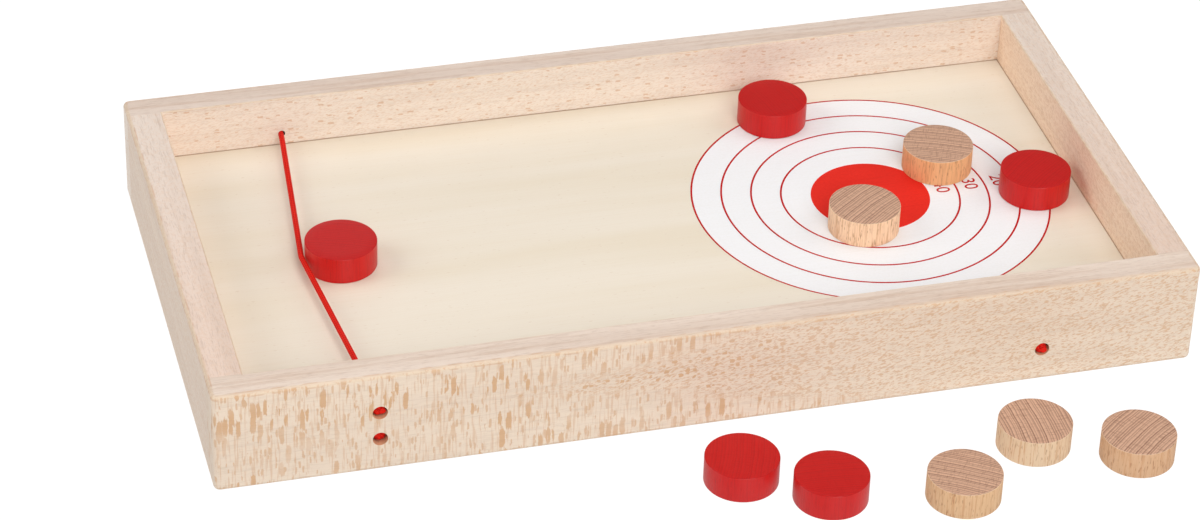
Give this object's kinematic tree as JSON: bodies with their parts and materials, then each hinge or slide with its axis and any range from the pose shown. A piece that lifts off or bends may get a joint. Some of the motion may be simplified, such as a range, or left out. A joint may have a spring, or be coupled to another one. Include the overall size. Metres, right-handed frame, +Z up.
{
  "type": "sling puck game",
  "caption": "Reversible beech tray game with elastic slings, a gated divider underneath, a printed ring target on the board, and loose red and natural wooden pucks.",
  "frame": {"origin": "middle of the tray's underside, on the flush lower edge of the divider's bridge", "axes": "+X along the tray's long side towards the ring target, +Y away from the side where the loose pucks lie, +Z up out of the board"},
  "size_m": [0.4, 0.2937, 0.045],
  "materials": {
    "beech_long_rail": "fine sanded beech, long grain along the rail, orange-brown flecks",
    "beech_short_rail": "fine sanded beech, grain along the rail",
    "beech_tongue": "planed beech",
    "plywood_board": "pale sanded plywood, faint grain",
    "print_red": "matt printed ink",
    "print_white": "matt printed ink",
    "beech_divider": "fine sanded beech",
    "elastic_cord_red": "round braided elastic",
    "puck_red_paint": "satin red lacquer over beech",
    "puck_natural_beech": "sanded beech, saw-cut grain on the faces"
  },
  "bodies": {
    "tray": {"front_rail": "beech_long_rail", "back_rail": "beech_long_rail", "left_rail": "beech_short_rail", "right_rail": "beech_short_rail", "corner_tongues": "beech_tongue", "play_board": "plywood_board", "target_red": "print_red", "target_white": "print_white", "divider": "beech_divider", "sling_cord_knots": "elastic_cord_red", "lower_left_cord_knots": "elastic_cord_red", "lower_right_cord_knots": "elastic_cord_red"},
    "sling": {"sling_cord": "elastic_cord_red"},
    "lower_left_sling": {"lower_left_cord": "elastic_cord_red"},
    "lower_right_sling": {"lower_right_cord": "elastic_cord_red"},
    "red_puck_1": {"red_puck_1": "puck_red_paint"},
    "red_puck_2": {"red_puck_2": "puck_red_paint"},
    "red_puck_3": {"red_puck_3": "puck_red_paint"},
    "red_puck_4": {"red_puck_4": "puck_red_paint"},
    "red_puck_5": {"red_puck_5": "puck_red_paint"},
    "natural_puck_1": {"natural_puck_1": "puck_natural_beech"},
    "natural_puck_2": {"natural_puck_2": "puck_natural_beech"},
    "natural_puck_3": {"natural_puck_3": "puck_natural_beech"},
    "natural_puck_4": {"natural_puck_4": "puck_natural_beech"},
    "natural_puck_5": {"natural_puck_5": "puck_natural_beech"}
  },
  "joints": [
    {"name": "sling_draw", "type": "slide", "parent": "tray", "child": "sling", "axis": [1, 0, 0], "range_m": [-0.028, 0.0095], "deforming": ["sling_cord"]},
    {"name": "lower_left_sling_draw", "type": "slide", "parent": "tray", "child": "lower_left_sling", "axis": [-1, 0, 0], "range_m": [0, 0.035], "stiffness_N_per_m": 40, "deforming": ["lower_left_cord"]},
    {"name": "lower_right_sling_draw", "type": "slide", "parent": "tray", "child": "lower_right_sling", "axis": [1, 0, 0], "range_m": [0, 0.035], "stiffness_N_per_m": 40, "deforming": ["lower_right_cord"]},
    {"name": "red_puck_1_slide", "type": "slide", "parent": "sling", "child": "red_puck_1", "axis": [1, 0, 0], "range_m": [0, 0.183]},
    {"name": "red_puck_2_slide", "type": "slide", "parent": "tray", "child": "red_puck_2", "axis": [1, 0, 0], "range_m": [-0.189, 0.096]},
    {"name": "natural_puck_1_slide", "type": "slide", "parent": "tray", "child": "natural_puck_1", "axis": [1, 0, 0], "range_m": [-0.233, 0.021]},
    {"name": "natural_puck_2_slide", "type": "slide", "parent": "tray", "child": "natural_puck_2", "axis": [1, 0, 0], "range_m": [-0.194, 0.0495]},
    {"name": "red_puck_3_slide", "type": "slide", "parent": "tray", "child": "red_puck_3", "axis": [1, 0, 0], "range_m": [-0.021, 0.0044]},
    {"name": "red_puck_4_slide", "type": "slide", "parent": "tray", "child": "red_puck_4", "axis": [0, 1, 0], "range_m": [-0.06, 0.02]},
    {"name": "red_puck_5_slide", "type": "slide", "parent": "tray", "child": "red_puck_5", "axis": [0, 1, 0], "range_m": [-0.06, 0.038]},
    {"name": "natural_puck_3_slide", "type": "slide", "parent": "tray", "child": "natural_puck_3", "axis": [0, 1, 0], "range_m": [-0.06, 0.048]},
    {"name": "natural_puck_4_slide", "type": "slide", "parent": "tray", "child": "natural_puck_4", "axis": [0, 1, 0], "range_m": [-0.06, 0.024]},
    {"name": "natural_puck_5_slide", "type": "slide", "parent": "tray", "child": "natural_puck_5", "axis": [0, 1, 0], "range_m": [-0.06, 0.039]}
  ]
}
